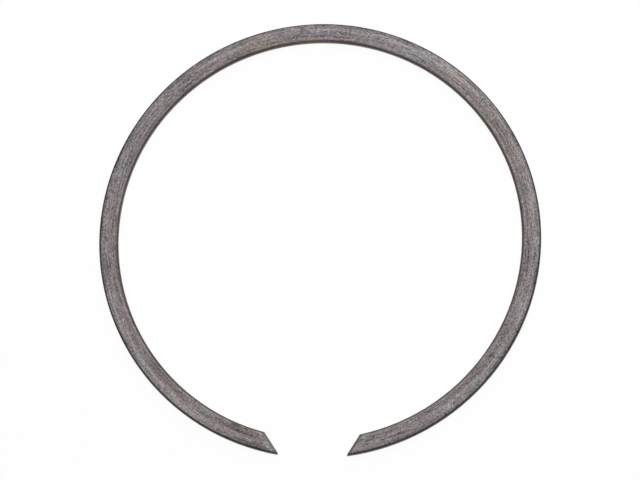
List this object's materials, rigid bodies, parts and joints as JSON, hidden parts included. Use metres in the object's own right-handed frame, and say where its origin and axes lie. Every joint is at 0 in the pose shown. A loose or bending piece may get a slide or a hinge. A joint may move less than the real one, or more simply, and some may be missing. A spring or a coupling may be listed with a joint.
{
  "type": "circlip retaining ring",
  "caption": "Open retaining ring bent from flat spring wire with rounded edges, its ends sheared at a slant so the gap is narrowest at the outer rim.",
  "frame": {"origin": "on the ring's axis, level with its lower face", "axes": "+Z along the ring's axis, up from the lower face; -Y through the middle of the gap; +X to the right as seen from above with the gap towards the viewer"},
  "size_m": [0.17, 0.1689, 0.003],
  "materials": {
    "spring_steel": "dull dark grey spring steel, oil-tempered and mottled, with fine rolling streaks along the wire and slightly worn edges at the cuts"
  },
  "bodies": {
    "root": {"retaining_ring": "spring_steel"}
  },
  "joints": []
}
